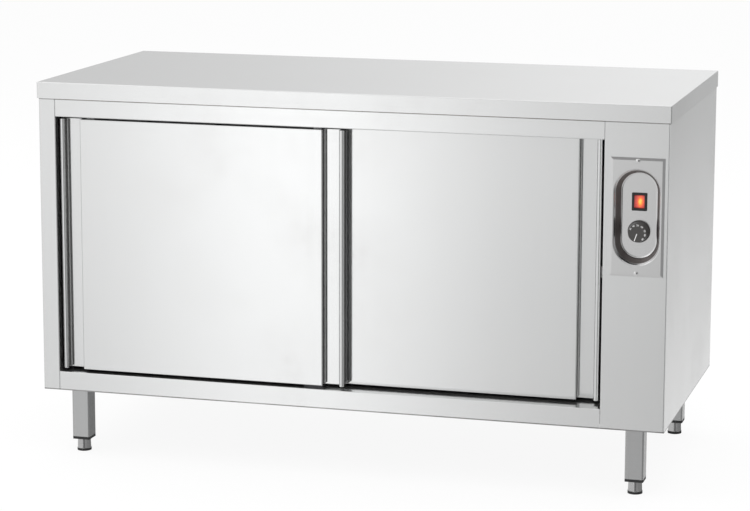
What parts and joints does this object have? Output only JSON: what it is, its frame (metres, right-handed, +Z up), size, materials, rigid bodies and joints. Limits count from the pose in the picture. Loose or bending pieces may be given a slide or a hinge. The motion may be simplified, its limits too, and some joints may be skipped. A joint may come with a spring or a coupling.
{
  "type": "plate warmer cabinet",
  "caption": "Heated stainless steel cupboard with a flat worktop, by-passing sliding doors, a recessed control dish and square legs on levelling feet, for warming plates",
  "frame": {"origin": "on the floor under the middle of the worktop", "axes": "+Z up, the doors face -Y, the controls are at +X"},
  "size_m": [1.4, 0.65, 0.84],
  "materials": {
    "brushed_stainless": "fine brushed stainless steel",
    "galvanised": "plain galvanised steel",
    "zinc_screw": "bright zinc plating",
    "black_plastic": "moulded black plastic",
    "dark_knob": "satin dark grey plastic",
    "lit_red": "translucent red lens",
    "white_nylon": "natural nylon",
    "rubber_stop": "black rubber",
    "mineral_wool": "pressed mineral wool",
    "core_board": "moisture-resistant chipboard",
    "element_steel": "heat-tinted steel tube",
    "foot_metal": "satin zinc"
  },
  "bodies": {
    "cabinet": {"back_insulation": "mineral_wool", "back_liner": "brushed_stainless", "back_panel": "brushed_stainless", "base_tray": "galvanised", "bottom_rail": "brushed_stainless", "cable_gland": "black_plastic", "ceiling_insulation": "mineral_wool", "chamber_ceiling": "brushed_stainless", "chamber_floor": "brushed_stainless", "control_column": "brushed_stainless", "control_plate": "brushed_stainless", "door_stops": "rubber_stop", "door_track": "galvanised", "fan_duct": "galvanised", "fan_motor": "galvanised", "floor_guide": "white_nylon", "floor_insulation": "mineral_wool", "heating_element": "element_steel", "left_insulation": "mineral_wool", "left_liner": "brushed_stainless", "left_side_panel": "brushed_stainless", "leg_bolts": "zinc_screw", "leg_end_caps": "black_plastic", "leg_front_left": "brushed_stainless", "leg_front_right": "brushed_stainless", "leg_rear_left": "brushed_stainless", "leg_rear_right": "brushed_stainless", "partition_insulation": "mineral_wool", "plate_screws": "zinc_screw", "right_liner": "brushed_stainless", "right_side_panel": "brushed_stainless", "shelf": "brushed_stainless", "shelf_angles": "galvanised", "switch_body": "black_plastic", "terminal_block": "black_plastic", "thermostat": "black_plastic", "top_rail": "brushed_stainless", "worktop": "brushed_stainless", "worktop_core": "core_board"},
    "left_door": {"left_door_shell": "brushed_stainless", "left_door_back": "brushed_stainless", "left_door_core": "mineral_wool", "left_door_hangers": "galvanised"},
    "right_door": {"right_door_shell": "brushed_stainless", "right_door_back": "brushed_stainless", "right_door_core": "mineral_wool", "right_door_hangers": "galvanised"},
    "left_outer_wheel": {"left_outer_roller": "white_nylon"},
    "left_inner_wheel": {"left_inner_roller": "white_nylon"},
    "right_outer_wheel": {"right_outer_roller": "white_nylon"},
    "right_inner_wheel": {"right_inner_roller": "white_nylon"},
    "rocker": {"switch_rocker": "lit_red"},
    "knob": {"control_knob": "dark_knob"},
    "fan_wheel": {"impeller": "galvanised"},
    "foot_front_left_body": {"foot_front_left": "foot_metal"},
    "foot_front_right_body": {"foot_front_right": "foot_metal"},
    "foot_rear_left_body": {"foot_rear_left": "foot_metal"},
    "foot_rear_right_body": {"foot_rear_right": "foot_metal"}
  },
  "joints": [
    {"name": "left_door_slide", "type": "slide", "parent": "cabinet", "child": "left_door", "axis": [1, 0, 0], "range_m": [0, 0.552]},
    {"name": "right_door_slide", "type": "slide", "parent": "cabinet", "child": "right_door", "axis": [1, 0, 0], "range_m": [-0.552, 0]},
    {"name": "left_outer_wheel_spin", "type": "hinge", "parent": "left_door", "child": "left_outer_wheel", "pos_m": [-0.5895, -0.295, 0.7818], "axis": [0, 1, 0], "continuous": true},
    {"name": "left_inner_wheel_spin", "type": "hinge", "parent": "left_door", "child": "left_inner_wheel", "pos_m": [-0.0685, -0.295, 0.7818], "axis": [0, 1, 0], "continuous": true},
    {"name": "right_inner_wheel_spin", "type": "hinge", "parent": "right_door", "child": "right_inner_wheel", "pos_m": [-0.0375, -0.261, 0.7818], "axis": [0, 1, 0], "continuous": true},
    {"name": "right_outer_wheel_spin", "type": "hinge", "parent": "right_door", "child": "right_outer_wheel", "pos_m": [0.4835, -0.261, 0.7818], "axis": [0, 1, 0], "continuous": true},
    {"name": "knob_turn", "type": "hinge", "parent": "cabinet", "child": "knob", "pos_m": [0.6315, -0.293, 0.571], "axis": [0, 1, 0], "range_deg": [0, 270]},
    {"name": "rocker_tip", "type": "hinge", "parent": "cabinet", "child": "rocker", "pos_m": [0.6315, -0.289, 0.6335], "axis": [1, 0, 0], "range_deg": [0, 16]},
    {"name": "fan_spin", "type": "hinge", "parent": "cabinet", "child": "fan_wheel", "pos_m": [0.6302, 0.05, 0.4], "axis": [1, 0, 0], "continuous": true},
    {"name": "foot_front_left_screw", "type": "slide", "parent": "cabinet", "child": "foot_front_left_body", "axis": [0, 0, 1], "range_m": [-0.04, 0]},
    {"name": "foot_front_right_screw", "type": "slide", "parent": "cabinet", "child": "foot_front_right_body", "axis": [0, 0, 1], "range_m": [-0.04, 0]},
    {"name": "foot_rear_left_screw", "type": "slide", "parent": "cabinet", "child": "foot_rear_left_body", "axis": [0, 0, 1], "range_m": [-0.04, 0]},
    {"name": "foot_rear_right_screw", "type": "slide", "parent": "cabinet", "child": "foot_rear_right_body", "axis": [0, 0, 1], "range_m": [-0.04, 0]}
  ],
  "couplings": [
    {"joint": "left_outer_wheel_spin", "follows": "left_door_slide", "rad_per_m": 102.04},
    {"joint": "left_inner_wheel_spin", "follows": "left_door_slide", "rad_per_m": 102.04},
    {"joint": "right_inner_wheel_spin", "follows": "right_door_slide", "rad_per_m": 102.04},
    {"joint": "right_outer_wheel_spin", "follows": "right_door_slide", "rad_per_m": 102.04}
  ]
}
